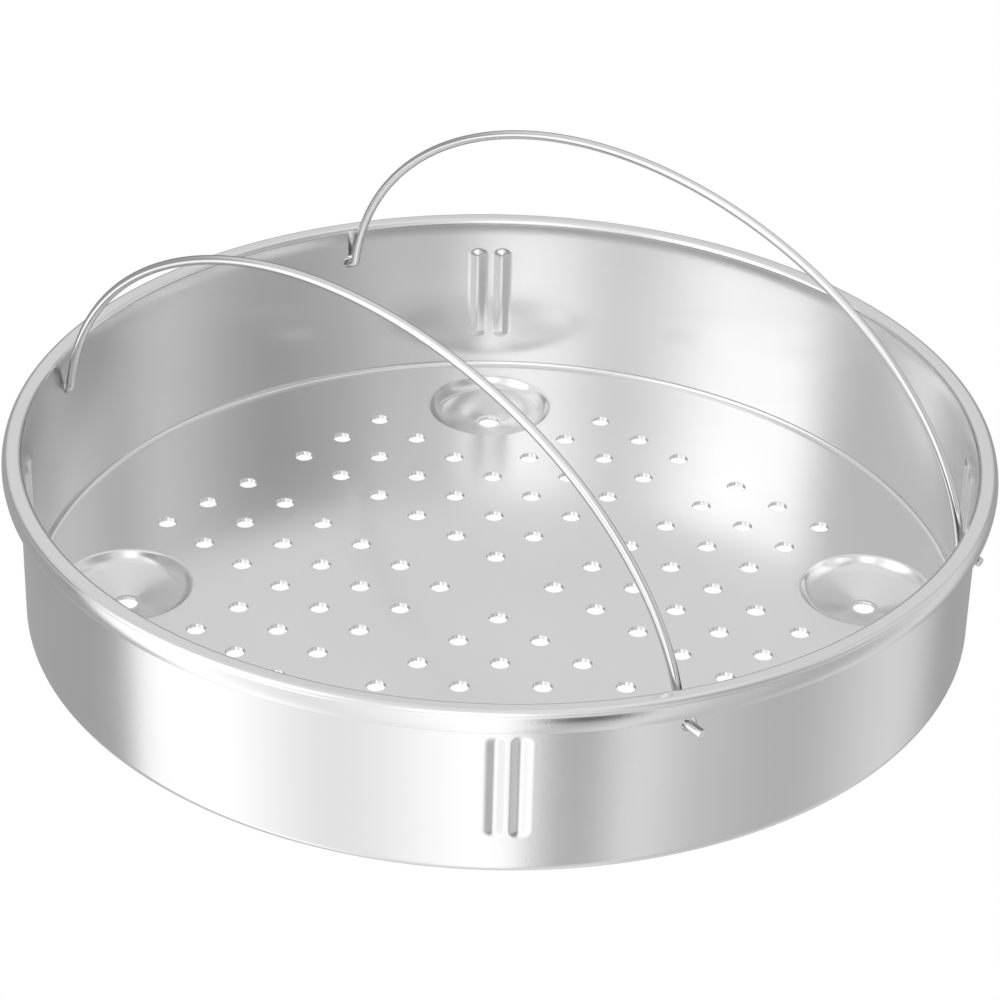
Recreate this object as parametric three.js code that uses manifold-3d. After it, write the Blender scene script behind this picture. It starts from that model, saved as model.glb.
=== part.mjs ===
// Steamer basket of a pressure cooker: a pressed and perforated steel pan on four dimpled feet,
// with two wire bail handles that swing in holes in its wall.
// Millimetres, +Z up. The origin is under the centre of the pan, on the plane that its feet stand on.
import * as THREE from "three";
import { mergeVertices, toCreasedNormals } from "three/addons/utils/BufferGeometryUtils.js";
import Module from "manifold-3d";

const wasm = await Module();
wasm.setup();

// Pan, pressed from one sheet
const SHEET = 1.0; // thickness of the steel
const WALL_RADIUS = 103.4; // outside of the wall
const PAN_DEPTH = 39.7; // rim top to floor
const FLOOR_BEND = 1.0; // inside radius where the wall leaves the floor

// Rim, a flat flange with its edge turned down into a skirt
const FLANGE_WIDTH = 3.6; // how far the rim stands out past the wall
const SKIRT_HEIGHT = 4.4; // rim top to the skirt's lower edge
const RIM_BEND = 0.3; // inside radius, wall to flange
const SKIRT_BEND = 0; // inside radius, flange to skirt

// Feet, dimples pressed down out of the floor
const FOOT_COUNT = 4;
const FOOT_RADIUS = 14.5; // edge of the dimple, at the floor
const FOOT_WALL_GAP = 5.9; // floor left between a dimple's edge and the wall
const FOOT_DEPTH = 4.8; // floor to the land in the middle of the dimple
const FOOT_SIDE_DEPTH = 2.8; // depth of the steep side, above the conical part
const FOOT_SIDE_INSET = 0.9; // how far the steep side leans in
const FOOT_BEND = 1.5; // inside radius, cone to steep side
const LAND_RADIUS = 3.25; // flat land that the foot stands on
const FOOT_HOLE_RADIUS = 2.4; // drain hole in the land

// Perforations, one triangular field running out towards each foot
const HOLE_RADIUS = 2.1;
const HOLE_SPACING = 12.5; // nearest holes of one field, centre to centre
const FIRST_HOLE = 12.64; // pan axis to the hole at the tip of a field
const PLAIN_RING = 20.4; // floor left plain inside the wall
const FOOT_CLEARANCE = 1.5; // least floor left between a hole and a foot

// Ribs, pressed into the wall in pairs above the feet: ridges inside, grooves outside
const RIB_SPACING = 5.5; // centre to centre in a pair
const RIB_WIDTH = 4.3; // at the wall's face
const RIB_RISE = 1.2;
const RIB_BELOW_RIM = 7.5; // rim top to the rib's upper end
const RIB_ABOVE_FLOOR = 8.2; // floor to the rib's lower end

// Bail handles, bent from round wire
const WIRE_RADIUS = 1.0;
const HINGE_OFFSET = 44.5; // pan axis to each hinge line
const HINGE_BELOW_SKIRT = 4.5; // skirt's lower edge to the hinge lines
const BAIL_RISE = 56.6; // top of the leg bends to the crown of the arch
const ARCH_SWEEP = THREE.MathUtils.degToRad(83.7); // share of a quarter ellipse in half an arch
const LEG_GAP = 0.45; // between a leg and the wall
const WIRE_BEND = 1.3; // centre-line radius from leg to stub
const STUB_DROOP = THREE.MathUtils.degToRad(10); // fall of the stub towards its end
const STUB_REACH = 3.1; // stub left outside the wall
const WIRE_HOLE_CLEARANCE = 0.3; // around a stub in its hole
const BAILS = [
  { name: "front_bail_handle", azimuth: THREE.MathUtils.degToRad(225) },
  { name: "rear_bail_handle", azimuth: THREE.MathUtils.degToRad(45) },
];

// Facets
const PAN_SEGMENTS = 72;
const FOOT_SEGMENTS = 24;
const BEND_STEPS = 2;
const HOLE_SIDES = 10;
const WIRE_HOLE_SIDES = 16;
const RIB_SIDES = 16;
const RIB_CAP_STEPS = 3;
const WIRE_SIDES = 10;
const ARCH_STEPS = 20;
const WIRE_BEND_STEPS = 4;
const CUT_MARGIN = 1; // how far a cutter runs past the sheet
const MERGE_TOLERANCE = 1e-4;
const CREASE = THREE.MathUtils.degToRad(25);

// Sizes that follow from the ones above
const WALL_INSIDE = WALL_RADIUS - SHEET;
const WALL_MIDDLE = WALL_RADIUS - SHEET / 2;
const RIM_RADIUS = WALL_RADIUS + FLANGE_WIDTH;
const FLOOR_Z = SHEET + FOOT_DEPTH;
const RIM_Z = FLOOR_Z + PAN_DEPTH;
const HINGE_Z = RIM_Z - SKIRT_HEIGHT - HINGE_BELOW_SKIRT;
const FOOT_RING = WALL_INSIDE - FOOT_WALL_GAP - FOOT_RADIUS;

// A closed three.js geometry as a solid that can be joined and cut.
function solid(geometry) {
  geometry.deleteAttribute("normal");
  geometry.deleteAttribute("uv");
  const merged = mergeVertices(geometry, MERGE_TOLERANCE);
  const mesh = new wasm.Mesh({
    numProp: 3,
    vertProperties: merged.attributes.position.array,
    triVerts: new Uint32Array(merged.index.array),
  });
  return new wasm.Manifold(mesh);
}

// The finished solid as a three.js geometry.
function geometryOf(manifold) {
  const mesh = manifold.getMesh();
  const geometry = new THREE.BufferGeometry();
  geometry.setAttribute("position", new THREE.BufferAttribute(mesh.vertProperties, 3));
  geometry.setIndex(new THREE.BufferAttribute(mesh.triVerts, 1));
  return toCreasedNormals(geometry, CREASE);
}

// Corners {r, z, bend} of a section moved sideways, to the right of the way they run.
// A bend grows on the outside of a turn and shrinks on the inside.
function offsetCorners(corners, distance) {
  const normals = corners.slice(1).map((corner, i) => {
    const along = new THREE.Vector2(corner.r - corners[i].r, corner.z - corners[i].z).normalize();
    return new THREE.Vector2(along.y, -along.x);
  });
  return corners.map((corner, i) => {
    const before = normals[Math.max(i - 1, 0)];
    const after = normals[Math.min(i, normals.length - 1)];
    const mitre = before.clone().add(after).multiplyScalar(distance / (1 + before.dot(after)));
    const bend = corner.bend + distance * Math.sign(before.cross(after));
    return { r: corner.r + mitre.x, z: corner.z + mitre.y, bend };
  });
}

// A line of corners as points, with an arc at each corner that has a bend.
function roundedLine(corners) {
  const places = corners.map(({ r, z }) => new THREE.Vector2(r, z));
  const points = places.map((corner, i) => {
    const bend = corners[i].bend;
    if (bend <= 0) return [corner];
    const back = places[i - 1].clone().sub(corner).normalize();
    const on = places[i + 1].clone().sub(corner).normalize();
    const halfAngle = Math.acos(back.dot(on)) / 2;
    const towardsCentre = back.clone().add(on).normalize();
    const centre = corner.clone().addScaledVector(towardsCentre, bend / Math.sin(halfAngle));
    const run = bend / Math.tan(halfAngle);
    const start = corner.clone().addScaledVector(back, run).sub(centre).angle();
    const end = corner.clone().addScaledVector(on, run).sub(centre).angle();
    const clockwise = back.cross(on) > 0;
    const arc = new THREE.EllipseCurve(centre.x, centre.y, bend, bend, start, end, clockwise);
    return arc.getPoints(BEND_STEPS);
  });
  return points.flat();
}

// A section turned about the Z axis. It runs up the outside.
function revolved(points, segments) {
  return solid(new THREE.LatheGeometry(points, segments).rotateX(Math.PI / 2));
}

// A round cutter along Z, from one height to another.
function upright(radius, sides, from, to) {
  const cylinder = new THREE.CylinderGeometry(radius, radius, to - from, sides);
  return solid(cylinder.rotateX(Math.PI / 2)).translate(0, 0, (from + to) / 2);
}

// The angles of the feet and of the rib pairs above them.
function footAzimuths() {
  return Array.from({ length: FOOT_COUNT }, (_, i) => (i * 2 * Math.PI) / FOOT_COUNT);
}

// A solid turned about the pan's axis. Manifold solids turn in degrees.
function turned(shape, azimuth) {
  return shape.rotate(0, 0, THREE.MathUtils.radToDeg(azimuth));
}

// The sheet of the pan: its upper face from the axis out to the skirt, and back along the lower face.
function pressedSheet() {
  const upper = [
    { r: 0, z: FLOOR_Z, bend: 0 },
    { r: WALL_INSIDE, z: FLOOR_Z, bend: FLOOR_BEND },
    { r: WALL_INSIDE, z: RIM_Z, bend: RIM_BEND + SHEET },
    { r: RIM_RADIUS, z: RIM_Z, bend: SKIRT_BEND + SHEET },
    { r: RIM_RADIUS, z: RIM_Z - SKIRT_HEIGHT, bend: 0 },
  ];
  const lower = offsetCorners(upper, SHEET);
  return revolved([...roundedLine(lower), ...roundedLine(upper).reverse()], PAN_SEGMENTS);
}

// A dimple's upper face, from its axis out and up its steep side to a height above the floor.
function footCorners(aboveFloor) {
  const lean = FOOT_SIDE_INSET / FOOT_SIDE_DEPTH;
  return [
    { r: 0, z: FLOOR_Z - FOOT_DEPTH, bend: 0 },
    { r: LAND_RADIUS, z: FLOOR_Z - FOOT_DEPTH, bend: 0 },
    { r: FOOT_RADIUS - FOOT_SIDE_INSET, z: FLOOR_Z - FOOT_SIDE_DEPTH, bend: FOOT_BEND },
    { r: FOOT_RADIUS + lean * aboveFloor, z: FLOOR_Z + aboveFloor, bend: 0 },
  ];
}

// A dimple's face closed over at its top, as a solid on the pan's axis.
function footBowl(corners) {
  const top = new THREE.Vector2(0, corners[corners.length - 1].z);
  return revolved([...roundedLine(corners), top], FOOT_SEGMENTS);
}

// The pan with its dimples pressed down and their drain holes punched.
function withFeet(pan) {
  const boss = footBowl(offsetCorners(footCorners(0), SHEET));
  const hollow = footBowl(footCorners(CUT_MARGIN));
  const hole = upright(FOOT_HOLE_RADIUS, HOLE_SIDES, -CUT_MARGIN, SHEET + CUT_MARGIN);
  for (const azimuth of footAzimuths()) {
    const place = (shape) => turned(shape.translate(FOOT_RING, 0, 0), azimuth);
    pan = pan.add(place(boss)).subtract(place(hollow)).subtract(place(hole));
  }
  return pan;
}

// Centres of one field's holes, in rows that grow by a hole each, out along X.
// Holes that would meet the plain ring or the foot are left out.
function fieldCentres() {
  const halfStep = HOLE_SPACING / Math.SQRT2;
  const foot = new THREE.Vector2(FOOT_RING, 0);
  const centres = [];
  for (let row = 0; FIRST_HOLE + row * halfStep < WALL_INSIDE - PLAIN_RING; row++) {
    for (let i = 0; i <= row; i++) {
      const centre = new THREE.Vector2(FIRST_HOLE + row * halfStep, (2 * i - row) * halfStep);
      const inField = centre.length() < WALL_INSIDE - PLAIN_RING;
      const clearOfFoot = centre.distanceTo(foot) > FOOT_RADIUS + FOOT_CLEARANCE + HOLE_RADIUS;
      if (inField && clearOfFoot) centres.push(centre);
    }
  }
  return centres;
}

function withPerforations(pan) {
  const hole = upright(HOLE_RADIUS, HOLE_SIDES, FLOOR_Z - SHEET - CUT_MARGIN, FLOOR_Z + CUT_MARGIN);
  for (const azimuth of footAzimuths()) {
    for (const centre of fieldCentres()) {
      pan = pan.subtract(turned(hole.translate(centre.x, centre.y, 0), azimuth));
    }
  }
  return pan;
}

// The rib's rounded form, a capsule sunk in the wall until only its rise stands out.
// Moved out by the sheet's thickness, the same form is the groove behind the ridge.
function withRibs(pan) {
  const halfWidth = RIB_WIDTH / 2;
  const radius = (halfWidth ** 2 / RIB_RISE + RIB_RISE) / 2;
  const straight = PAN_DEPTH - RIB_BELOW_RIM - RIB_ABOVE_FLOOR - RIB_WIDTH;
  const middleZ = (RIM_Z - RIB_BELOW_RIM + FLOOR_Z + RIB_ABOVE_FLOOR) / 2;
  const capsule = new THREE.CapsuleGeometry(radius, straight, RIB_CAP_STEPS, RIB_SIDES);
  const form = solid(capsule.rotateX(Math.PI / 2)).translate(0, 0, middleZ);
  const insideWall = upright(WALL_MIDDLE, PAN_SEGMENTS, FLOOR_Z, RIM_Z);
  const ridgeX = WALL_INSIDE + radius - RIB_RISE;
  for (const azimuth of footAzimuths()) {
    for (const side of [-1, 1]) {
      const place = (x) => turned(form.translate(x, (side * RIB_SPACING) / 2, 0), azimuth);
      pan = pan.add(place(ridgeX).intersect(insideWall)).subtract(place(ridgeX + SHEET));
    }
  }
  return pan;
}

// Half the distance along a hinge line between the places where it meets a round of this radius.
function halfChord(radius) {
  return Math.sqrt(radius ** 2 - HINGE_OFFSET ** 2);
}

// Radial holes in the wall where the hinge lines pass, wide enough for a stub that crosses on the skew.
function withWireHoles(pan) {
  const skew = Math.asin(HINGE_OFFSET / WALL_MIDDLE);
  const radius = WIRE_RADIUS / Math.cos(skew) + (SHEET / 2) * Math.tan(skew) + WIRE_HOLE_CLEARANCE;
  const punch = new THREE.CylinderGeometry(radius, radius, SHEET + 2 * CUT_MARGIN, WIRE_HOLE_SIDES);
  const hole = solid(punch.rotateZ(Math.PI / 2)).translate(WALL_MIDDLE, 0, HINGE_Z);
  for (const { azimuth } of BAILS) {
    for (const side of [-1, 1]) {
      pan = pan.subtract(turned(hole, azimuth + side * (Math.PI / 2 - skew)));
    }
  }
  return pan;
}

// Half a bail in its own upright plane, from the crown of the arch to the end of the stub:
// an elliptical arch, a tight bend and a straight stub. x runs along the hinge line, z is up.
const ARCH_END = halfChord(WALL_INSIDE - LEG_GAP - WIRE_RADIUS);
const ARCH_HALF_WIDTH = ARCH_END / Math.sin(ARCH_SWEEP);
const ARCH_HEIGHT = BAIL_RISE / (1 - Math.cos(ARCH_SWEEP));
const LEG_HEADING = archHeading(ARCH_SWEEP);
const BEND_CENTRE_X = ARCH_END - WIRE_BEND * Math.sin(LEG_HEADING);
const STUB_START_X = BEND_CENTRE_X - WIRE_BEND * Math.sin(STUB_DROOP);
const STUB_END_X = halfChord(WALL_RADIUS) + STUB_REACH;
// The stub crosses the middle of the wall on the hinge line, which is at z = 0.
const STUB_START_Z = (halfChord(WALL_MIDDLE) - STUB_START_X) * Math.tan(STUB_DROOP);
const BEND_CENTRE_Z = STUB_START_Z + WIRE_BEND * Math.cos(STUB_DROOP);
const ARCH_END_Z = BEND_CENTRE_Z - WIRE_BEND * Math.cos(LEG_HEADING);
const HALF_STEPS = ARCH_STEPS + WIRE_BEND_STEPS + 1;

// The direction of the arch in its plane, at an angle of its ellipse from the crown.
function archHeading(angle) {
  return Math.atan2(-ARCH_HEIGHT * Math.sin(angle), ARCH_HALF_WIDTH * Math.cos(angle));
}

// A place on half a bail, at a share of its steps from the crown.
function halfBail(share) {
  const step = share * HALF_STEPS;
  if (step <= ARCH_STEPS) {
    const angle = (step / ARCH_STEPS) * ARCH_SWEEP;
    const fall = ARCH_HEIGHT * (Math.cos(angle) - Math.cos(ARCH_SWEEP));
    return { x: ARCH_HALF_WIDTH * Math.sin(angle), z: ARCH_END_Z + fall, heading: archHeading(angle) };
  }
  if (step <= ARCH_STEPS + WIRE_BEND_STEPS) {
    const turn = (step - ARCH_STEPS) / WIRE_BEND_STEPS;
    const heading = THREE.MathUtils.lerp(LEG_HEADING, -STUB_DROOP, turn);
    const x = BEND_CENTRE_X + WIRE_BEND * Math.sin(heading);
    return { x, z: BEND_CENTRE_Z - WIRE_BEND * Math.cos(heading), heading };
  }
  const out = (step - ARCH_STEPS - WIRE_BEND_STEPS) * (STUB_END_X - STUB_START_X);
  return { x: STUB_START_X + out, z: STUB_START_Z - out * Math.tan(STUB_DROOP), heading: -STUB_DROOP };
}

// The whole bail's centre line, stub end to stub end. Its steps are closer together in the bends.
class BailCurve extends THREE.Curve {
  getPointAt(u, target = new THREE.Vector3()) {
    const { x, z } = halfBail(Math.abs(2 * u - 1));
    return target.set(u < 0.5 ? -x : x, 0, z);
  }

  getTangentAt(u, target = new THREE.Vector3()) {
    const { heading } = halfBail(Math.abs(2 * u - 1));
    return target.set(Math.cos(heading), 0, u < 0.5 ? -Math.sin(heading) : Math.sin(heading));
  }
}

function bailGeometry() {
  const section = new THREE.Shape();
  section.absarc(0, 0, WIRE_RADIUS, 0, 2 * Math.PI);
  return new THREE.ExtrudeGeometry(section, {
    steps: 2 * HALF_STEPS,
    curveSegments: WIRE_SIDES / 2, // a full circle gets two sides for each
    extrudePath: new BailCurve(),
  });
}

// Materials: satin pressed sheet, and brighter drawn wire
const sheetSteel = new THREE.MeshStandardMaterial({ color: 0xc9cacb, roughness: 0.32, metalness: 1 });
const wireSteel = new THREE.MeshStandardMaterial({ color: 0xd6d7d8, roughness: 0.18, metalness: 1 });

// The basket
const basket = new THREE.Group();
const pan = [withFeet, withPerforations, withRibs, withWireHoles].reduce(
  (shape, press) => press(shape),
  pressedSheet(),
);
const panMesh = new THREE.Mesh(geometryOf(pan), sheetSteel);
panMesh.name = "perforated_basket";
basket.add(panMesh);

for (const { name, azimuth } of BAILS) {
  const bail = new THREE.Mesh(bailGeometry(), wireSteel);
  bail.name = name;
  bail.position.set(0, HINGE_OFFSET, HINGE_Z); // +Y here points away from the pan's axis
  const side = new THREE.Group();
  side.rotation.z = azimuth - Math.PI / 2;
  side.add(bail);
  basket.add(side);
}

export default basket;
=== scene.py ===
"""Looks of the steamer basket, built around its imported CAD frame.

The part's lengths are in millimetres until a mesh is made. The floor and the camera are placed in metres."""

import math

import bpy
import numpy as np
from mathutils import Matrix, Vector
from mathutils.geometry import delaunay_2d_cdt


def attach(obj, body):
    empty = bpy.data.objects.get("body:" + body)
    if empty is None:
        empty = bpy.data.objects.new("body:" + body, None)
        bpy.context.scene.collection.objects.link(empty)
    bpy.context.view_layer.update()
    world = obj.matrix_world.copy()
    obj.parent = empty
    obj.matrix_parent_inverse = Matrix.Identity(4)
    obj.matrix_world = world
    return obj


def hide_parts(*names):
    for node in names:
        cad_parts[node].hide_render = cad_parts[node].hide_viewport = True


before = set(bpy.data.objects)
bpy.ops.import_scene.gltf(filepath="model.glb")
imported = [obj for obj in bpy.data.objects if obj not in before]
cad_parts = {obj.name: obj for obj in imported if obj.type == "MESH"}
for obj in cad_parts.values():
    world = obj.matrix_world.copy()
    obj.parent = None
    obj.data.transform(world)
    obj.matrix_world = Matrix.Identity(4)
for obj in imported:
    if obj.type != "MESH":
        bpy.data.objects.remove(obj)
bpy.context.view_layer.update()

MM = 0.001

# Pan, as in the part
SHEET = 1.0
WALL_RADIUS = 103.4
PAN_DEPTH = 39.7
FLANGE_WIDTH = 3.6
SKIRT_HEIGHT = 4.4
RIM_BEND = 0.3

# Pan, finer than the part: wider bends at the floor, a flare under the rim, and a bowed skirt that hangs lower
FLOOR_BEND = 1.25
OUTER_FLOOR_BEND = 2.25
FLOOR_EDGE_GAP = 0.6
FLARE_LEANS = [math.radians(7.5), math.radians(14)]
FLARE_BENDS = [23.0, 3.5]
SKIRT_DROP = 4.85
SKIRT_INSET = 1.4
SKIRT_TOP_BEND = 1.5
SKIRT_TOP_LEAN = math.radians(22)
SKIRT_BOW = 5.5
SKIRT_FOOT_LEAN = math.radians(11)
SKIRT_EDGE = 0.3

# Feet, as in the part apart from their rounder sides
FOOT_COUNT = 4
FOOT_RADIUS = 14.5
FOOT_WALL_GAP = 5.9
FOOT_DEPTH = 4.8
FOOT_SIDE_DEPTH = 2.05
FOOT_SIDE_INSET = 1.55
FOOT_BEND = 4.5
LAND_RADIUS = 3.25
FOOT_HOLE_RADIUS = 2.4

# Perforations, as in the part
HOLE_RADIUS = 2.1
HOLE_SPACING = 12.5
FIRST_HOLE = 12.64
PLAIN_RING = 20.4
FOOT_CLEARANCE = 1.5

# Ribs inside the wall and grooves outside it, both lower and softer than the part's
RIB_SPACING = 5.8
RIB_REACH = 2.6
RIB_SLOPE = math.radians(19)
RIB_END = 1.9
RIB_FOOT = 0.4
RIB_CREST = 0.2
GROOVE_SPACING = 4.8
GROOVE_INNER_REACH = 2.15
GROOVE_OUTER_REACH = 2.7
GROOVE_DEPTH = 0.31
GROOVE_END = 2.0
GROOVE_OVERRUN = 0.1
GROOVE_INNER_FOOT = 0.2
GROOVE_OUTER_FOOT = 0.55
GROOVE_BED = 0.27
RIB_BELOW_RIM = 7.5
RIB_ABOVE_FLOOR = 7.7
RIB_AZIMUTHS = [math.radians(a) for a in (0, 90, 180, 269.6)]

# Bails, as in the part, in wire holes that are tighter than the part's and a little higher
WIRE_RADIUS = 1.0
HINGE_OFFSET = 44.5
HINGE_BELOW_SKIRT = 4.5
BAIL_RISE = 56.6
ARCH_SWEEP = math.radians(83.7)
LEG_GAP = 0.45
WIRE_BEND = 1.3
STUB_DROOP = math.radians(10)
STUB_REACH = 3.1
WIRE_HOLE_CLEARANCE = 0.17
WIRE_HOLE_LIFT = 0.24
BAILS = {"front_bail": math.radians(225), "rear_bail": math.radians(45)}

# Soft edges that pressing and punching leave, finer than the part's facets
CUT_EDGE = 0.15
HOLE_LIP = 0.16
DRAIN_BREAK_OUT = 0.55
DRAIN_BREAK_DEPTH = 0.62
FOOT_EDGE = 0.9
LAND_BEND = 0.8
WIRE_EDGE = 0.2

# Studio light, as brightness by azimuth in degrees: below eye level and above it. The first is at the back
STUDIO_BACK = 100
STUDIO_STRENGTH = 1.25
LOW_STUDIO = [
    (100, 0.325),
    (167, 0.325),
    (178, 1.02),
    (196, 1.05),
    (-130, 0.755),
    (-90, 1.06),
    (-76.5, 0.385),
    (-70.5, 0.385),
    (-59, 0.69),
    (-40, 0.485),
    (-20, 0.41),
    (20, 0.635),
    (46, 0.315),
]
HIGH_STUDIO = [
    (100, 0.63),
    (158, 0.6),
    (171, 0.61),
    (189, 1.33),
    (206, 1.37),
    (-122, 0.77),
    (-97, 1.27),
    (-90, 1.13),
    (-84, 0.94),
    (-77, 0.665),
    (-64, 0.65),
    (-50, 0.46),
    (-32, 0.366),
    (6, 0.655),
    (22, 0.5),
    (44, 0.63),
    (70, 0.61),
]
CEILING = 0.7
TABLE = 0.48

# Heights where one light gives way to the next: -1 is straight below the basket and 1 straight above it
TABLE_EASE = (-0.6, -0.8)
HIGH_EASE = (0.18, 0.44)
CEILING_EASE = (0.77, 0.96)
BELOW_EASE = (-0.9, -0.99)

# Dark stands between the panels: half width in degrees and the light they take, by azimuth in degrees
STANDS = {-72: (14, 0.36), 168: (6, 0.14)}
STAND_Z = -0.14
STAND_HALF_HEIGHT = 0.42

# Floor's reach and the camera solved for the photo, in metres, with its sensor and lens in millimetres
FLOOR_REACH = 4.0
SENSOR_WIDTH = 36.0
LENS = 123.13
CLIP_START = 0.01
CLIP_END = 100.0
CAMERA_PLACE = (-0.023133, -0.639467, 0.413599)
CAMERA_RIGHT = (0.99948564, -0.02283984, 0.02251222)
CAMERA_UP = (-0.00749159, 0.51627136, 0.85639229)
CAMERA_BACK = (-0.03118228, -0.85612045, 0.51583470)

# Steel's grain: how often each pattern comes in a metre and its layers of detail, then how strongly they show
CLOUDS = (22.0, 2)
WEAR = (60.0, 3)
LATHE_LINES = (1100.0, 2)
GRAIN_DETAIL = 3
NOISE_MIDDLE = (0.3, 0.7)
LINE_POLISH = 0.008
LINE_DEPTH = 0.25
GRAIN_TONE = 0.006
GRAIN_HEIGHT = 0.0002

# Fineness of the meshes
PAN_COLUMNS = 240
RIB_COLUMN = 0.16
RIB_MARGIN = 0.4
RIB_ROW = 0.3
RIB_ROWS_BELOW = 1.2
RIB_ROWS_ABOVE = 3.0
WIRE_HOLE_COLUMN = 0.5
WALL_ROW = 2.5
ARC_STEPS = 7
HOLE_COLUMNS = 40
HOLE_ARC_STEPS = 3
FOOT_COLUMNS = 120
WIRE_COLUMNS = 28
ARCH_ROWS = 220
BEND_ROWS = 16
STUB_ROWS = 6
PATCH_RINGS = 4
PATCH_RADII = 1.8
SLOPE_STEP = 0.02
SNAP = 0.01
WELD = 1e-7
TINY = 1e-6
JUST_INSIDE = 0.999

# Sizes that follow
WALL_INSIDE = WALL_RADIUS - SHEET
WALL_MIDDLE = WALL_RADIUS - SHEET / 2
RIM_RADIUS = WALL_RADIUS + FLANGE_WIDTH
FLOOR_Z = SHEET + FOOT_DEPTH
RIM_Z = FLOOR_Z + PAN_DEPTH
SKIRT_Z = RIM_Z - SKIRT_HEIGHT
SKIRT_FOOT_Z = RIM_Z - SKIRT_DROP
SKIRT_INSIDE = RIM_RADIUS - SKIRT_INSET
HINGE_Z = SKIRT_Z - HINGE_BELOW_SKIRT
FOOT_RING = WALL_INSIDE - FOOT_WALL_GAP - FOOT_RADIUS
FLOOR_EDGE = WALL_INSIDE - OUTER_FLOOR_BEND - FLOOR_EDGE_GAP
RIB_TOP = RIM_Z - RIB_BELOW_RIM
RIB_BOTTOM = FLOOR_Z + RIB_ABOVE_FLOOR
RIB_RISE = math.tan(RIB_SLOPE) * RIB_REACH * (1 - RIB_FOOT / 2 - RIB_CREST / 2)
FOOT_AZIMUTHS = [i * 2 * math.pi / FOOT_COUNT for i in range(FOOT_COUNT)]
SKEW = math.asin(HINGE_OFFSET / WALL_MIDDLE)
WIRE_HOLE_RADIUS = WIRE_RADIUS / math.cos(SKEW) + SHEET / 2 * math.tan(SKEW) + WIRE_HOLE_CLEARANCE
WIRE_HOLE_Z = HINGE_Z + WIRE_HOLE_LIFT
PATCH_REACH = PATCH_RADII * WIRE_HOLE_RADIUS
WIRE_HOLE_AZIMUTHS = [a + side * (math.pi / 2 - SKEW) for a in BAILS.values() for side in (-1, 1)]


def full_turn(count):
    """Evenly spread angles round a full turn."""
    return np.arange(count) * 2 * math.pi / count


def wrapped(angles):
    """The same angles, between half a turn back and half a turn on."""
    return (angles + math.pi) % (2 * math.pi) - math.pi


class Surface:
    """A welded mesh under construction, with the true normal of the surface at each vertex."""

    def __init__(self):
        self.places, self.normals, self.faces = [], [], []
        self.count = 0

    def add(self, places, normals):
        """Adds vertices and gives their numbers, in the shape of the arrays."""
        shape = places.shape[:-1]
        self.places.append(places.reshape(-1, 3))
        self.normals.append(normals.reshape(-1, 3))
        first = self.count
        self.count += len(self.places[-1])
        return np.arange(first, self.count).reshape(shape)

    def grid(self, rows, skip=None):
        """Quads between closed rows of vertices. The rows follow the section, and the columns turn to the left."""
        after = np.roll(rows, -1, axis=1)
        quads = np.stack([rows[:-1], rows[1:], after[1:], after[:-1]], axis=-1)
        if skip is not None:
            quads = quads[~skip]
        self.faces.extend(quads.reshape(-1, 4).tolist())

    def to_object(self, name):
        mesh = bpy.data.meshes.new(name)
        mesh.from_pydata((np.concatenate(self.places) * MM).tolist(), [], self.faces)
        mesh.shade_smooth()
        mesh.normals_split_custom_set_from_vertices(np.concatenate(self.normals).tolist())
        mesh.validate()
        made = bpy.data.objects.new(name, mesh)
        bpy.context.scene.collection.objects.link(made)
        return made


def rounded(corners, steps):
    """Points and left-hand normals along corners (r, z, bend), with an arc at each corner between the ends."""
    places = [np.array(corner[:2], float) for corner in corners]
    points, normals = [], []
    for i, (corner, place) in enumerate(zip(corners, places)):
        ways = [b - a for a, b in zip(places[max(i - 1, 0) : i + 1], places[max(i, 1) : i + 2])]
        ways = [way / np.linalg.norm(way) for way in ways]
        lefts = [np.array([-way[1], way[0]]) for way in ways]
        if len(ways) == 1:
            points.append(place)
            normals.append(lefts[0])
            continue
        turn = math.atan2(ways[0][0] * ways[1][1] - ways[0][1] * ways[1][0], ways[0] @ ways[1])
        bend = corner[2]
        side = math.copysign(1, turn)
        centre = place - ways[0] * bend * math.tan(abs(turn) / 2) + side * bend * lefts[0]
        for step in range(steps + 1):
            angle = turn * step / steps
            c, s = math.cos(angle), math.sin(angle)
            normal = np.array([c * lefts[0][0] - s * lefts[0][1], s * lefts[0][0] + c * lefts[0][1]])
            points.append(centre - side * bend * normal)
            normals.append(normal)
    return np.array(points), np.array(normals)


def turned_section(points, normals, angles, centre=(0.0, 0.0)):
    """A section turned about an upright axis: places and normals, one row for each point."""
    c, s = np.cos(angles), np.sin(angles)
    shape = (len(points), len(angles))
    r, z = points[:, :1], np.broadcast_to(points[:, 1:], shape)
    places = np.stack([r * c + centre[0], r * s + centre[1], z], axis=-1)
    nr, nz = normals[:, :1], np.broadcast_to(normals[:, 1:], shape)
    ways = np.stack([nr * c, nr * s, nz], axis=-1)
    return places, ways


def offset_corners(corners, distance):
    """Corners of a section moved to the right of the way they run, with their bends fitted."""
    places = np.array([corner[:2] for corner in corners], float)
    ways = np.diff(places, axis=0)
    ways /= np.linalg.norm(ways, axis=1)[:, None]
    rights = np.stack([ways[:, 1], -ways[:, 0]], axis=1)
    moved = []
    for i, corner in enumerate(corners):
        before, after = rights[max(i - 1, 0)], rights[min(i, len(rights) - 1)]
        mitre = (before + after) * distance / (1 + before @ after)
        turn = before[0] * after[1] - before[1] * after[0]
        moved.append((*(places[i] + mitre), corner[2] + distance * np.sign(turn)))
    return moved


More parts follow.
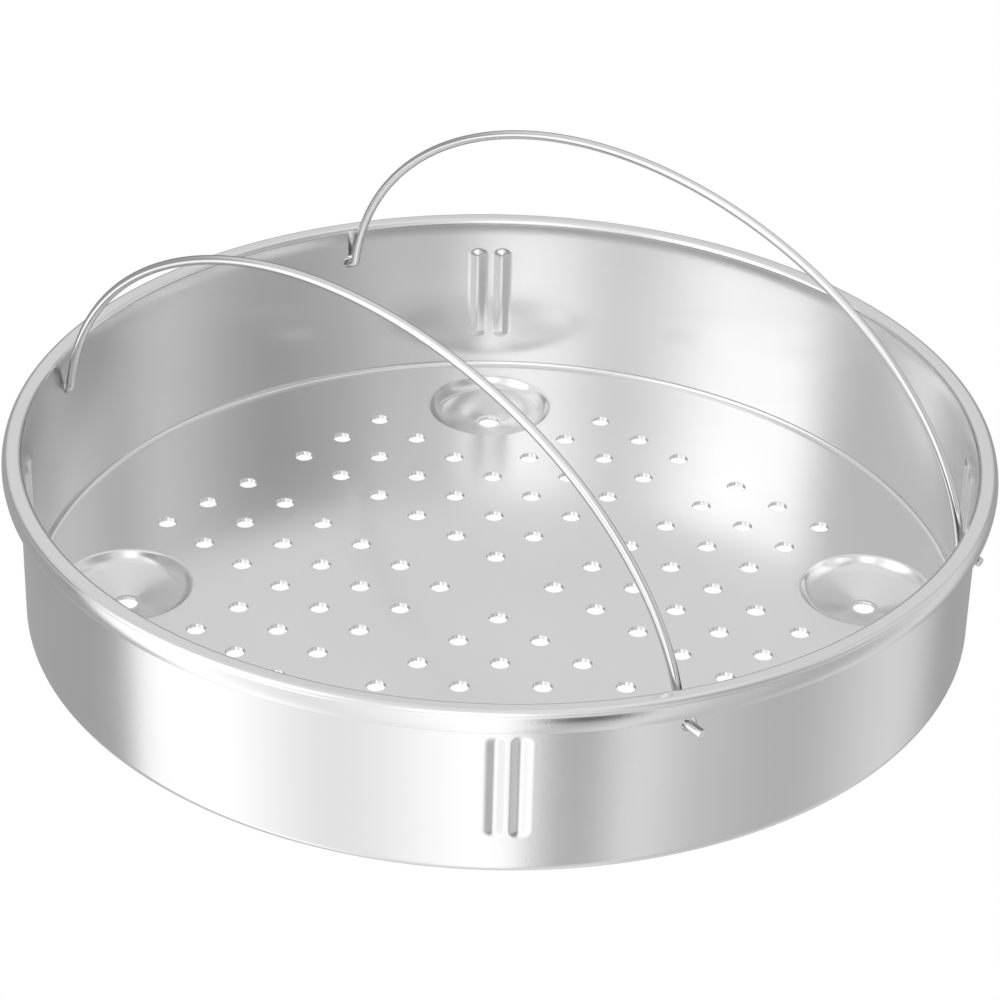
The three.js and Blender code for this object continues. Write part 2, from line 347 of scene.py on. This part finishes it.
def foot_section():
    """A dimple's closed section, in along its lower face, up its drain hole and out along its upper face."""
    upper = [
        (FOOT_HOLE_RADIUS, FLOOR_Z - FOOT_DEPTH, CUT_EDGE),
        (LAND_RADIUS, FLOOR_Z - FOOT_DEPTH, LAND_BEND),
        (FOOT_RADIUS - FOOT_SIDE_INSET, FLOOR_Z - FOOT_SIDE_DEPTH, FOOT_BEND),
        (FOOT_RADIUS, FLOOR_Z, FOOT_EDGE),
        (FOOT_RADIUS + FOOT_EDGE, FLOOR_Z, 0),
    ]
    lower = offset_corners(upper, SHEET)
    lower[0] = (FOOT_HOLE_RADIUS + DRAIN_BREAK_OUT, FLOOR_Z - FOOT_DEPTH - SHEET, CUT_EDGE)
    lower[1] = (*lower[1][:2], CUT_EDGE)
    lower[3] = (*lower[3][:2], FOOT_EDGE + SHEET)
    lower[4] = (FOOT_RADIUS + 2 * FOOT_EDGE + SHEET, FLOOR_Z - SHEET, 0)
    broken = (FOOT_HOLE_RADIUS, FLOOR_Z - FOOT_DEPTH - SHEET + DRAIN_BREAK_DEPTH, CUT_EDGE)
    return rounded([*reversed(lower), broken, *upper], ARC_STEPS)


def hole_section():
    """A perforation's section, from the floor's lower face up to its upper face."""
    return rounded(
        [
            (HOLE_RADIUS + 2 * CUT_EDGE, FLOOR_Z - SHEET, 0),
            (HOLE_RADIUS, FLOOR_Z - SHEET, CUT_EDGE),
            (HOLE_RADIUS, FLOOR_Z, HOLE_LIP),
            (HOLE_RADIUS + 2 * HOLE_LIP, FLOOR_Z, 0),
        ],
        HOLE_ARC_STEPS,
    )


def field_centres():
    """Centres of one field's perforations, out along X in rows that grow by one hole each."""
    half_step = HOLE_SPACING / math.sqrt(2)
    centres = []
    row = 0
    while FIRST_HOLE + row * half_step < WALL_INSIDE - PLAIN_RING:
        for i in range(row + 1):
            x, y = FIRST_HOLE + row * half_step, (2 * i - row) * half_step
            in_field = math.hypot(x, y) < WALL_INSIDE - PLAIN_RING
            clear = math.hypot(x - FOOT_RING, y) > FOOT_RADIUS + FOOT_CLEARANCE + HOLE_RADIUS
            if in_field and clear:
                centres.append((x, y))
        row += 1
    return centres


def around(place, azimuth):
    """A place on the floor, turned about the pan's axis."""
    c, s = math.cos(azimuth), math.sin(azimuth)
    return (c * place[0] - s * place[1], s * place[0] + c * place[1])


def vee(share, foot, top):
    """Height of a fold, from 0 at its lip to 1 along its middle, with straight flanks.
    The foot and the top are the shares of it that are soft at either end."""
    start = np.minimum(share, foot) ** 2 / (2 * foot)
    flank = np.maximum(share - foot, 0)
    over = np.maximum(share - 1 + top, 0) ** 2 / (2 * top)
    return (start + flank - over) / (1 - foot / 2 - top / 2)


def rib_press(across, z, outer):
    """How far a pair of ribs presses the wall in, at a distance across from the pair's middle.
    The inner face has low roof-shaped ribs. The outer face has shallower grooves with softer outer sides."""
    pressed = np.zeros(np.broadcast(across, z).shape)
    end, overrun = (GROOVE_END, GROOVE_OVERRUN) if outer else (RIB_END, 0.0)
    beyond = (z - np.clip(z, RIB_BOTTOM - overrun + end, RIB_TOP + overrun - end)) / end
    for side in (-1, 1):
        if outer:
            aside = across * side - GROOVE_SPACING / 2
            aside = aside / np.where(aside > 0, GROOVE_OUTER_REACH, GROOVE_INNER_REACH)
        else:
            aside = (across * side - RIB_SPACING / 2) / RIB_REACH
        away = np.hypot(aside, beyond)
        share = np.clip(1 - away, 0, 1)
        if outer:
            lean = 0.5 + 0.5 * aside / np.maximum(away, TINY)
            foot = GROOVE_INNER_FOOT + (GROOVE_OUTER_FOOT - GROOVE_INNER_FOOT) * lean
            pressed = pressed + GROOVE_DEPTH * vee(share, foot, GROOVE_BED)
        else:
            pressed = pressed + RIB_RISE * vee(share, RIB_FOOT, RIB_CREST)
    return pressed


def min_size(options):
    """The option nearest to nought, place by place."""
    nearest = options[0]
    for option in options[1:]:
        nearest = np.where(np.abs(option) < np.abs(nearest), option, nearest)
    return nearest


def wall_face(angles, heights, outer):
    """Places and normals of the wall's inner or outer face, ribs included."""
    radius, sign = (WALL_RADIUS, 1.0) if outer else (WALL_INSIDE, -1.0)
    z = np.asarray(heights, float)
    angles = np.asarray(angles, float)
    turns = [wrapped(angles - azimuth) for azimuth in RIB_AZIMUTHS]
    across = min_size(turns) * WALL_MIDDLE
    step = SLOPE_STEP
    slope_across = (rib_press(across + step, z, outer) - rib_press(across - step, z, outer)) / (2 * step)
    slope_up = (rib_press(across, z + step, outer) - rib_press(across, z - step, outer)) / (2 * step)
    r = radius - rib_press(across, z, outer)
    c, s = np.cos(angles), np.sin(angles)
    places = np.stack([r * c, r * s, np.broadcast_to(z, r.shape)], axis=-1)
    normals = np.stack([c - slope_across * s, s + slope_across * c, slope_up], axis=-1)
    normals *= sign / np.linalg.norm(normals, axis=-1, keepdims=True)
    return places, normals


def spread(start, end, step):
    """Evenly spread values from start to end, about a step apart."""
    return np.linspace(start, end, max(2, 1 + round((end - start) / step)))


def pan_columns():
    """The angles of the pan's columns, close together at the ribs and the wire holes."""
    fine = [(a, RIB_SPACING / 2 + RIB_REACH + RIB_MARGIN, RIB_COLUMN) for a in RIB_AZIMUTHS]
    fine += [(a, PATCH_REACH, WIRE_HOLE_COLUMN) for a in WIRE_HOLE_AZIMUTHS]
    angles = []
    plain = full_turn(PAN_COLUMNS)
    margin = math.pi / PAN_COLUMNS
    for middle, reach, step in fine:
        half = reach / WALL_MIDDLE
        away = wrapped(plain - middle)
        plain = plain[np.abs(away) > half + margin]
        angles.extend((middle + spread(-half, half, step / WALL_MIDDLE)) % (2 * math.pi))
    return np.sort(np.concatenate([plain, angles]))


def wall_heights(low, high):
    """The heights of the wall's rows, close together at the ribs' lower ends and at the wire holes."""
    levels = [
        low,
        RIB_BOTTOM - RIB_ROWS_BELOW,
        RIB_BOTTOM + RIB_ROWS_ABOVE,
        WIRE_HOLE_Z - PATCH_REACH,
        WIRE_HOLE_Z + PATCH_REACH,
        high,
    ]
    steps = [WALL_ROW, RIB_ROW, WALL_ROW, RIB_ROW, WALL_ROW]
    runs = [spread(a, b, step) for a, b, step in zip(levels, levels[1:], steps)]
    return np.unique(np.concatenate(runs))


def wire_hole(surface, rows, heights, angles, azimuth, outer):
    """Fills a patch of the wall round a wire hole. Gives the quads to skip, the hole's rim and its angles."""
    reach = PATCH_REACH + SNAP
    away = wrapped(angles - azimuth)
    columns = np.flatnonzero(np.abs(away) * WALL_MIDDLE <= reach)
    columns = columns[np.argsort(away[columns])]
    levels = np.flatnonzero(np.abs(heights - WIRE_HOLE_Z) <= reach)
    levels = levels[np.argsort(heights[levels])]
    loop = [(levels[0], c) for c in columns[:-1]] + [(l, columns[-1]) for l in levels[:-1]]
    loop += [(levels[-1], c) for c in columns[:0:-1]] + [(l, columns[0]) for l in levels[:0:-1]]
    across = np.array([away[c] * WALL_MIDDLE for _, c in loop])
    up = np.array([heights[l] - WIRE_HOLE_Z for l, _ in loop])
    turn = np.arctan2(up, across)
    start = WIRE_HOLE_RADIUS + CUT_EDGE
    rings = [np.array([rows[l, c] for l, c in loop])]
    for k in range(1, PATCH_RINGS + 1):
        share = k / PATCH_RINGS
        x = across + (start * np.cos(turn) - across) * share
        y = up + (start * np.sin(turn) - up) * share
        rings.append(surface.add(*wall_face(azimuth + x / WALL_MIDDLE, WIRE_HOLE_Z + y, outer)))
    rings = np.array(rings)
    surface.grid(rings[::-1] if outer else rings)
    skip = np.zeros((len(heights) - 1, len(angles)), bool)
    low, high = levels.min(), levels.max()
    skip[low:high, columns[:-1]] = True
    return skip, rings[-1], turn


def skirt_corners():
    """The skirt's outer face, bowed a little: over its top bend, down to its widest, and in to its foot."""
    top_way = (math.sin(SKIRT_TOP_LEAN), -math.cos(SKIRT_TOP_LEAN))
    foot_way = (-math.sin(SKIRT_FOOT_LEAN), -math.cos(SKIRT_FOOT_LEAN))
    run = SKIRT_BOW * math.tan((SKIRT_TOP_LEAN + SKIRT_FOOT_LEAN) / 2)
    widest = RIM_RADIUS + run * top_way[0] - SKIRT_BOW * (1 - math.cos(SKIRT_TOP_LEAN))
    drop = SKIRT_TOP_BEND * math.tan((math.pi / 2 - SKIRT_TOP_LEAN) / 2) + run
    middle_z = RIM_Z + drop * top_way[1]
    reach = (middle_z - SKIRT_FOOT_Z) / -foot_way[1]
    return [
        (widest - drop * top_way[0], RIM_Z, SKIRT_TOP_BEND),
        (widest, middle_z, SKIRT_BOW),
        (widest + reach * foot_way[0], SKIRT_FOOT_Z, SKIRT_EDGE),
    ]


def flare_corners():
    """The wall's inner face under the rim: two gentle bends outwards, then the bend to the flange."""
    leans = [0.0, *FLARE_LEANS, math.pi / 2]
    bends = [*FLARE_BENDS, RIM_BEND + SHEET]
    runs = [bend * math.tan((b - a) / 2) for bend, a, b in zip(bends, leans, leans[1:])]
    steps = [
        np.array([math.sin(lean), math.cos(lean)]) * (below + above)
        for lean, below, above in zip(FLARE_LEANS, runs, runs[1:])
    ]
    height = sum(step[1] for step in steps)
    places = np.cumsum([np.array([WALL_INSIDE, RIM_Z - height]), *steps], axis=0)
    return [(*place, bend) for place, bend in zip(places, bends)]


def pan_surface():
    """The whole pan: its section turned round, with the ribbed wall, wire holes and floor set into it."""
    surface = Surface()
    angles = pan_columns()
    flare = flare_corners()
    inner_wall = [(WALL_INSIDE, FLOOR_Z, 0), *flare, (RIM_RADIUS, RIM_Z, 0)]
    section = [
        (FLOOR_EDGE, FLOOR_Z, 0),
        (WALL_INSIDE, FLOOR_Z, FLOOR_BEND),
        *flare,
        *skirt_corners(),
        (SKIRT_INSIDE, SKIRT_FOOT_Z, SKIRT_EDGE),
        (SKIRT_INSIDE, RIM_Z - SHEET, CUT_EDGE),
        *reversed(offset_corners(inner_wall, SHEET)[1:-1]),
        (WALL_RADIUS, FLOOR_Z - SHEET, OUTER_FLOOR_BEND),
        (FLOOR_EDGE, FLOOR_Z - SHEET, 0),
    ]
    points, normals = rounded(section, ARC_STEPS)
    arc = ARC_STEPS + 1
    inside_end = 1 + arc
    outside_end = len(points) - 1 - arc
    parts = []
    for part in (slice(0, inside_end), slice(inside_end, outside_end), slice(outside_end, None)):
        parts.append(surface.add(*turned_section(points[part], normals[part], angles)))
    low_in, high_in = points[inside_end - 1][1], points[inside_end][1]
    high_out, low_out = points[outside_end - 1][1], points[outside_end][1]
    inner = wall_heights(low_in, high_in)[1:-1]
    outer = wall_heights(low_out, high_out)[1:-1]
    faces = []
    for heights, is_outer in ((inner, False), (outer, True)):
        faces.append(surface.add(*wall_face(angles[None, :], heights[:, None], is_outer)))
    inner_rows = np.concatenate([parts[0], faces[0], parts[1]])
    outer_rows = np.concatenate([parts[1][-1:], faces[1][::-1], parts[2]])
    inner_skip = np.zeros((len(inner_rows) - 1, len(angles)), bool)
    outer_skip = np.zeros((len(outer_rows) - 1, len(angles)), bool)
    for azimuth in WIRE_HOLE_AZIMUTHS:
        skip, rim_in, turn = wire_hole(surface, faces[0], inner, angles, azimuth, False)
        inner_skip[len(parts[0]) : len(parts[0]) + len(skip)] |= skip
        skip, rim_out, _ = wire_hole(surface, faces[1], outer, angles, azimuth, True)
        outer_skip[1 : 1 + len(skip)] |= skip[::-1]
        bore(surface, rim_in, rim_out, turn, azimuth)
    surface.grid(inner_rows, skip=inner_skip)
    surface.grid(outer_rows, skip=outer_skip)
    floors(surface, parts[0][0], parts[2][-1])
    return surface


def bore(surface, rim_in, rim_out, turn, azimuth):
    """The wall of a wire hole, with a soft edge at both faces."""
    section, ways = rounded(
        [
            (WIRE_HOLE_RADIUS + CUT_EDGE, WALL_RADIUS, 0),
            (WIRE_HOLE_RADIUS, WALL_RADIUS, CUT_EDGE),
            (WIRE_HOLE_RADIUS, WALL_INSIDE, CUT_EDGE),
            (WIRE_HOLE_RADIUS + CUT_EDGE, WALL_INSIDE, 0),
        ],
        HOLE_ARC_STEPS,
    )
    # The rims in the wall's faces stand for the outermost two points at either end
    section, ways = section[2:-2], ways[2:-2]
    radial = np.array([math.cos(azimuth), math.sin(azimuth), 0])
    sideways = np.array([-math.sin(azimuth), math.cos(azimuth), 0])
    upward = np.array([0, 0, 1.0])
    out = np.cos(turn)[:, None] * sideways + np.sin(turn)[:, None] * upward
    bow = (section[:, :1] * np.cos(turn)) ** 2 / (2 * WALL_MIDDLE)
    depth = (section[:, 1:] - bow)[..., None]
    places = section[:, :1, None] * out + depth * radial + WIRE_HOLE_Z * upward
    normals = -ways[:, :1, None] * out - ways[:, 1:, None] * radial
    inner = surface.add(places, normals)
    surface.grid(np.concatenate([rim_in[None], inner[::-1], rim_out[None]]))


def floors(surface, upper_rim, lower_rim):
    """The floor's two faces, with the feet and the perforations set into them."""
    hole_angles, foot_angles = full_turn(HOLE_COLUMNS), full_turn(FOOT_COLUMNS)
    hole, foot = hole_section(), foot_section()
    loops = {"upper": [upper_rim], "lower": [lower_rim]}
    gaps = {"upper": [], "lower": []}
    for azimuth in FOOT_AZIMUTHS:
        sites = [(foot, foot_angles, (FOOT_RING, 0.0))]
        sites += [(hole, hole_angles, centre) for centre in field_centres()]
        for section, turns, centre in sites:
            middle = around(centre, azimuth)
            rows = surface.add(*turned_section(*section, turns, middle))
            surface.grid(rows)
            loops["lower"].append(rows[0])
            loops["upper"].append(rows[-1])
            gaps["lower"].append((*middle, section[0][0][0]))
            gaps["upper"].append((*middle, section[0][-1][0]))
    places = np.concatenate(surface.places)
    for face in ("upper", "lower"):
        fill_floor(surface, places, loops[face], np.array(gaps[face]), face == "upper")


def fill_floor(surface, places, loops, gaps, upward):
    """Triangles of a flat floor between its rim and the rims of its feet and holes."""
    numbers = np.concatenate(loops)
    flat = [Vector(p[:2]) for p in places[numbers]]
    edges, first = [], 0
    for loop in loops:
        count = len(loop)
        edges += [(first + i, first + (i + 1) % count) for i in range(count)]
        first += count
    found, _, triangles, originals, _, _ = delaunay_2d_cdt(flat, edges, [], 0, WELD)
    origin = [numbers[o[0]] for o in originals]
    spots = np.array([[sum(found[v][k] for v in t) / 3 for k in (0, 1)] for t in triangles])
    away = np.hypot(*(spots[:, None, :] - gaps[None, :, :2]).transpose(2, 0, 1))
    kept = ~(away < gaps[:, 2] * JUST_INSIDE).any(axis=1)
    for triangle, keep in zip(triangles, kept):
        if keep:
            a, b, c = (origin[v] for v in triangle)
            surface.faces.append([a, b, c] if upward else [a, c, b])


def half_chord(radius):
    """Half the length of the hinge line inside a circle about the pan's axis."""
    return math.sqrt(radius**2 - HINGE_OFFSET**2)


def bail_line():
    """The bail's centre line in its upright plane, from stub end to stub end.
    Each row holds x along the hinge, z above it, and the line's heading."""
    arch_end = half_chord(WALL_INSIDE - LEG_GAP - WIRE_RADIUS)
    half_width = arch_end / math.sin(ARCH_SWEEP)
    height = BAIL_RISE / (1 - math.cos(ARCH_SWEEP))
    leg = math.atan2(-height * math.sin(ARCH_SWEEP), half_width * math.cos(ARCH_SWEEP))
    bend_x = arch_end - WIRE_BEND * math.sin(leg)
    stub_x = bend_x - WIRE_BEND * math.sin(STUB_DROOP)
    stub_z = (half_chord(WALL_MIDDLE) - stub_x) * math.tan(STUB_DROOP)
    bend_z = stub_z + WIRE_BEND * math.cos(STUB_DROOP)
    arch_z = bend_z - WIRE_BEND * math.cos(leg)
    end_x = half_chord(WALL_RADIUS) + STUB_REACH
    angle = np.linspace(0, ARCH_SWEEP, ARCH_ROWS)
    arch = [
        half_width * np.sin(angle),
        arch_z + height * (np.cos(angle) - math.cos(ARCH_SWEEP)),
        np.arctan2(-height * np.sin(angle), half_width * np.cos(angle)),
    ]
    heading = np.linspace(leg, -STUB_DROOP, BEND_ROWS + 1)[1:]
    bend = [bend_x + WIRE_BEND * np.sin(heading), bend_z - WIRE_BEND * np.cos(heading), heading]
    out = np.linspace(0, end_x - stub_x, STUB_ROWS + 1)[1:]
    stub = [stub_x + out, stub_z - out * math.tan(STUB_DROOP), np.full(STUB_ROWS, -STUB_DROOP)]
    half = np.concatenate([np.array(arch), np.array(bend), np.array(stub)], axis=1).T
    mirrored = half[:0:-1] * np.array([-1, 1, -1])
    return np.concatenate([mirrored, half])


def bail_surface(azimuth):
    """A bail as a round wire with flat, softly edged ends."""
    line = bail_line()
    outward = np.array([math.cos(azimuth), math.sin(azimuth), 0])
    along = np.array([math.sin(azimuth), -math.cos(azimuth), 0])
    upward = np.array([0, 0, 1.0])
    base = HINGE_OFFSET * outward + HINGE_Z * upward
    centres = base + line[:, :1] * along + line[:, 1:2] * upward
    ways = np.cos(line[:, 2:]) * along + np.sin(line[:, 2:]) * upward
    sides = -np.sin(line[:, 2:]) * along + np.cos(line[:, 2:]) * upward
    rows = [(centres[i], ways[i], sides[i], WIRE_RADIUS, 0.0) for i in range(1, len(line) - 1)]
    for index, sense in ((0, -1), (-1, 1)):
        cap = []
        for step in range(ARC_STEPS + 1):
            tilt = math.pi / 2 * step / ARC_STEPS
            shrink = WIRE_EDGE * (1 - math.cos(tilt))
            place = centres[index] + sense * ways[index] * WIRE_EDGE * (math.sin(tilt) - 1)
            cap.append((place, ways[index], sides[index], WIRE_RADIUS - shrink, sense * tilt))
        rows = cap[::-1] + rows if sense < 0 else rows + cap
    surface = Surface()
    turns = -full_turn(WIRE_COLUMNS)
    rings = []
    for place, way, side, radius, tilt in rows:
        cross = np.cross(way, side)
        spoke = np.cos(turns)[:, None] * side + np.sin(turns)[:, None] * cross
        normal = math.cos(tilt) * spoke + math.sin(tilt) * way
        rings.append(surface.add(place + radius * spoke, normal))
    rings = np.array(rings)
    surface.grid(rings)
    surface.faces.append(rings[0].tolist())
    surface.faces.append(rings[-1][::-1].tolist())
    return surface


def node(tree, kind, **settings):
    made = tree.nodes.new(kind)
    for name, value in settings.items():
        setattr(made, name, value)
    return made


def math_node(tree, operation, *values):
    """Works out a sum; each value is an output or a plain number."""
    made = node(tree, "ShaderNodeMath", operation=operation)
    for value, socket in zip(values, made.inputs):
        if isinstance(value, (int, float)):
            socket.default_value = value
        else:
            tree.links.new(value, socket)
    return made.outputs[0]


def noise(tree, place, scale, detail):
    made = node(tree, "ShaderNodeTexNoise", noise_dimensions="3D")
    tree.links.new(place, made.inputs["Vector"])
    made.inputs["Scale"].default_value = scale
    made.inputs["Detail"].default_value = detail
    return made.outputs[0]


def spread_to(tree, value, low, high):
    """Stretches the middle of a noise over a range."""
    ease = node(tree, "ShaderNodeMapRange")
    tree.links.new(value, ease.inputs["Value"])
    ease.inputs["From Min"].default_value, ease.inputs["From Max"].default_value = NOISE_MIDDLE
    ease.inputs["To Min"].default_value = low
    ease.inputs["To Max"].default_value = high
    return ease.outputs["Result"]


def lathe_place(tree, place):
    """Distance from the axis, and height, so that a pattern runs in rings round the pan."""
    split = tree.nodes.new("ShaderNodeSeparateXYZ")
    tree.links.new(place, split.inputs[0])
    x, y, z = split.outputs
    squares = [math_node(tree, "MULTIPLY", part, part) for part in (x, y)]
    radius = math_node(tree, "SQRT", math_node(tree, "ADD", *squares))
    rings = tree.nodes.new("ShaderNodeCombineXYZ")
    tree.links.new(radius, rings.inputs[0])
    tree.links.new(z, rings.inputs[1])
    return rings.outputs[0]


def steel(name, tones, polish, grain, depth, edge, ringed):
    """Bare stainless steel, cloudy in tone and polish, with a fine grain and faint lines.
    The lines run in rings on a piece that was turned."""
    material = bpy.data.materials.new(name)
    material.use_nodes = True
    tree = material.node_tree
    shader = tree.nodes["Principled BSDF"]
    shader.inputs["Metallic"].default_value = 1.0
    shader.inputs["Specular Tint"].default_value = (edge, edge, edge, 1)
    place = tree.nodes.new("ShaderNodeTexCoord").outputs["Object"]
    fine = noise(tree, place, grain, GRAIN_DETAIL)
    lines = noise(tree, lathe_place(tree, place) if ringed else place, *LATHE_LINES)
    clouds = spread_to(tree, noise(tree, place, *CLOUDS), *tones)
    tone = math_node(tree, "ADD", clouds, spread_to(tree, fine, -GRAIN_TONE, GRAIN_TONE))
    tint = tree.nodes.new("ShaderNodeCombineColor")
    for channel in tint.inputs:
        tree.links.new(tone, channel)
    tree.links.new(tint.outputs[0], shader.inputs["Base Color"])
    wear = spread_to(tree, noise(tree, place, *WEAR), *polish)
    rough = math_node(tree, "ADD", wear, spread_to(tree, lines, -LINE_POLISH, LINE_POLISH))
    tree.links.new(rough, shader.inputs["Roughness"])
    height = math_node(tree, "MULTIPLY_ADD", lines, LINE_DEPTH, fine)
    bump = tree.nodes.new("ShaderNodeBump")
    bump.inputs["Strength"].default_value = depth
    bump.inputs["Distance"].default_value = GRAIN_HEIGHT
    tree.links.new(height, bump.inputs["Height"])
    tree.links.new(bump.outputs[0], shader.inputs["Normal"])
    return material


def ring(tree, azimuth, stops):
    """Brightness round the studio, easing from one (azimuth, brightness) to the next, from the back round."""
    ramp = tree.nodes.new("ShaderNodeValToRGB")
    ramp.color_ramp.interpolation = "EASE"
    elements = ramp.color_ramp.elements
    elements.remove(elements[1])
    for i, (where, bright) in enumerate(stops):
        place = (where - STUDIO_BACK) % 360 / 360
        element = elements[0] if i == 0 else elements.new(place)
        element.position = place
        element.color = (bright, bright, bright, 1)
    last = elements.new(1.0)
    last.color = (stops[0][1],) * 3 + (1,)
    tree.links.new(azimuth, ramp.inputs["Fac"])
    return ramp.outputs["Color"]


def window(tree, value, low, high):
    """Eases from 0 to 1 while a value goes from low to high."""
    ease = node(tree, "ShaderNodeMapRange", interpolation_type="SMOOTHSTEP")
    tree.links.new(value, ease.inputs["Value"])
    ease.inputs["From Min"].default_value = low
    ease.inputs["From Max"].default_value = high
    return ease.outputs["Result"]


def blend(tree, share, a, b):
    """Goes from a to b by a share; each is an output or a plain brightness."""
    mix = node(tree, "ShaderNodeMix", data_type="FLOAT")
    for value, socket in ((share, mix.inputs[0]), (a, mix.inputs[2]), (b, mix.inputs[3])):
        if isinstance(value, float):
            socket.default_value = value
        else:
            tree.links.new(value, socket)
    return mix.outputs[0]


def studio_light():
    """A white studio: tall soft panels at the left and front, dimmer ones at the right, shade at the back."""
    world = bpy.data.worlds.new("studio")
    bpy.context.scene.world = world
    world.use_nodes = True
    tree = world.node_tree
    way = tree.nodes.new("ShaderNodeTexCoord").outputs["Generated"]
    split = tree.nodes.new("ShaderNodeSeparateXYZ")
    tree.links.new(way, split.inputs[0])
    x, y, z = split.outputs
    turn = math_node(tree, "ARCTAN2", y, x)
    share = math_node(tree, "MULTIPLY_ADD", turn, 1 / (2 * math.pi), 1 - STUDIO_BACK / 360)
    azimuth = math_node(tree, "FRACT", share)
    low = ring(tree, azimuth, LOW_STUDIO)
    high = ring(tree, azimuth, HIGH_STUDIO)
    flat = node(tree, "ShaderNodeVectorMath", operation="MULTIPLY")
    flat.inputs[1].default_value = (1, 1, 0)
    tree.links.new(way, flat.inputs[0])
    level = node(tree, "ShaderNodeVectorMath", operation="NORMALIZE")
    tree.links.new(flat.outputs[0], level.inputs[0])
    beyond = math_node(tree, "ABSOLUTE", math_node(tree, "SUBTRACT", z, STAND_Z))
    tall = window(tree, beyond, STAND_HALF_HEIGHT, 0.0)
    for where, (half_width, dark) in STANDS.items():
        stand = node(tree, "ShaderNodeVectorMath", operation="DOT_PRODUCT")
        tree.links.new(level.outputs[0], stand.inputs[0])
        stand.inputs[1].default_value = (math.cos(math.radians(where)), math.sin(math.radians(where)), 0)
        beside = window(tree, stand.outputs["Value"], math.cos(math.radians(half_width)), 1.0)
        shade = math_node(tree, "MULTIPLY", math_node(tree, "MULTIPLY", beside, tall), dark)
        low = math_node(tree, "MAXIMUM", math_node(tree, "SUBTRACT", low, shade), 0.0)
    low = blend(tree, window(tree, z, *TABLE_EASE), low, math_node(tree, "MAXIMUM", low, TABLE))
    sides = blend(tree, window(tree, z, *HIGH_EASE), low, high)
    roofed = blend(tree, window(tree, z, *CEILING_EASE), sides, CEILING)
    bright = blend(tree, window(tree, z, *BELOW_EASE), roofed, CEILING)
    seen = tree.nodes.new("ShaderNodeLightPath").outputs["Is Camera Ray"]
    lit = math_node(tree, "MULTIPLY", bright, STUDIO_STRENGTH)
    background = tree.nodes["Background"]
    background.inputs["Color"].default_value = (1, 1, 1, 1)
    tree.links.new(blend(tree, seen, lit, 1.0), background.inputs["Strength"])


def white_floor():
    """A plain white floor, clear from below so that the underside can be looked at."""
    mesh = bpy.data.meshes.new("floor")
    reach = FLOOR_REACH
    corners = [(-reach, -reach, 0), (reach, -reach, 0), (reach, reach, 0), (-reach, reach, 0)]
    mesh.from_pydata(corners, [], [(0, 1, 2, 3)])
    floor = bpy.data.objects.new("floor", mesh)
    bpy.context.scene.collection.objects.link(floor)
    material = bpy.data.materials.new("white_floor")
    material.use_nodes = True
    tree = material.node_tree
    tree.nodes.clear()
    glow = tree.nodes.new("ShaderNodeEmission")
    clear = tree.nodes.new("ShaderNodeBsdfTransparent")
    mix = tree.nodes.new("ShaderNodeMixShader")
    out = tree.nodes.new("ShaderNodeOutputMaterial")
    tree.links.new(tree.nodes.new("ShaderNodeNewGeometry").outputs["Backfacing"], mix.inputs["Fac"])
    tree.links.new(glow.outputs[0], mix.inputs[1])
    tree.links.new(clear.outputs[0], mix.inputs[2])
    tree.links.new(mix.outputs[0], out.inputs["Surface"])
    mesh.materials.append(material)
    floor.visible_glossy = False
    floor.visible_diffuse = False
    floor.visible_shadow = False


def photo_camera():
    data = bpy.data.cameras.new("camera")
    data.sensor_width = SENSOR_WIDTH
    data.lens = LENS
    data.clip_start = CLIP_START
    data.clip_end = CLIP_END
    camera = bpy.data.objects.new("camera", data)
    turn = Matrix((CAMERA_RIGHT, CAMERA_UP, CAMERA_BACK)).transposed()
    camera.matrix_world = Matrix.Translation(CAMERA_PLACE) @ turn.to_4x4()
    bpy.context.scene.collection.objects.link(camera)
    bpy.context.scene.camera = camera


photo_camera()
white_floor()
studio_light()
bpy.context.scene.view_settings.view_transform = "Standard"

sheet_steel = steel(
    "sheet_steel", tones=(0.79, 0.81), polish=(0.18, 0.215), grain=1500.0, depth=0.04, edge=1.0, ringed=True
)
wire_steel = steel(
    "wire_steel", tones=(0.81, 0.83), polish=(0.12, 0.155), grain=2200.0, depth=0.02, edge=0.5, ringed=False
)

pan = pan_surface().to_object("pressed_basket")
pan.data.materials.append(sheet_steel)
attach(pan, "basket")
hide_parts("perforated_basket")
for body, azimuth in BAILS.items():
    bail = bail_surface(azimuth).to_object(body + "_wire")
    bail.data.materials.append(wire_steel)
    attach(bail, body)
    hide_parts(body + "_handle")
